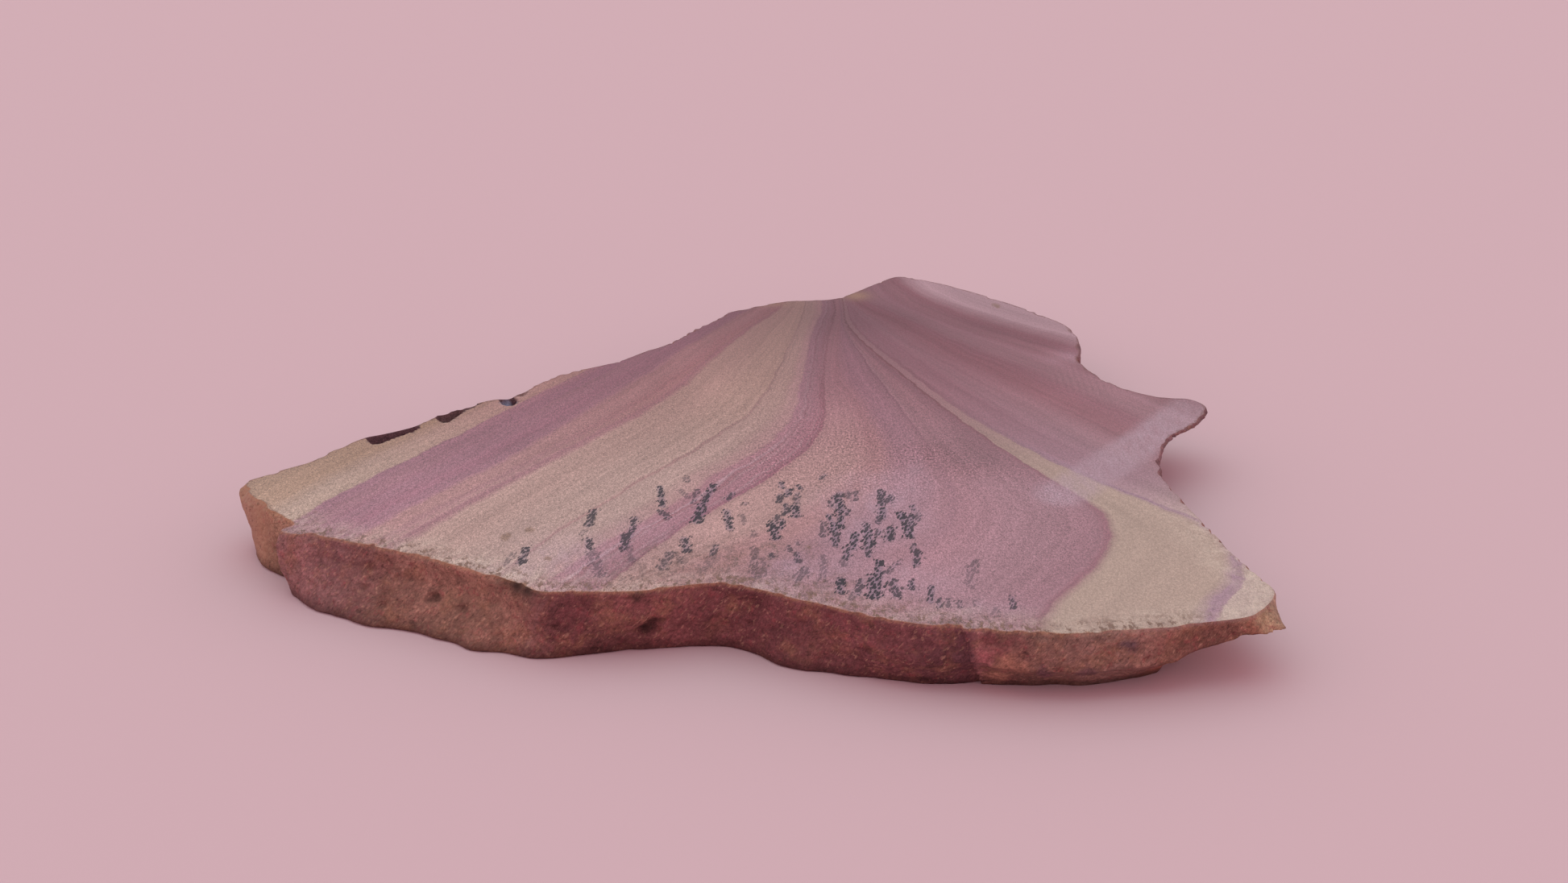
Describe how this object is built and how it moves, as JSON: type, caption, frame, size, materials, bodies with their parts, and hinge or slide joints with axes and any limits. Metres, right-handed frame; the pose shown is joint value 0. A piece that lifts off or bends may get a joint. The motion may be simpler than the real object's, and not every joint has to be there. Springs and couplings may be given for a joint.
{
  "type": "rhyolite slab",
  "caption": "Flat sawn slab of flow-banded rhyolite with a broken, weathered rim, a pointed horn and an undercut corner.",
  "frame": {"origin": "centre of the bounding box at the sawn underside, on the surface the slab lies on", "axes": "+Z out of the upper sawn face; +X towards the slab's pointed right corner and horn, +Y towards its far tip"},
  "size_m": [0.1242, 0.1254, 0.008],
  "materials": {
    "rhyolite": "sawn and lightly lapped, matt to satin; rough broken rim"
  },
  "bodies": {
    "root": {"rhyolite_slab": "rhyolite"}
  },
  "joints": []
}
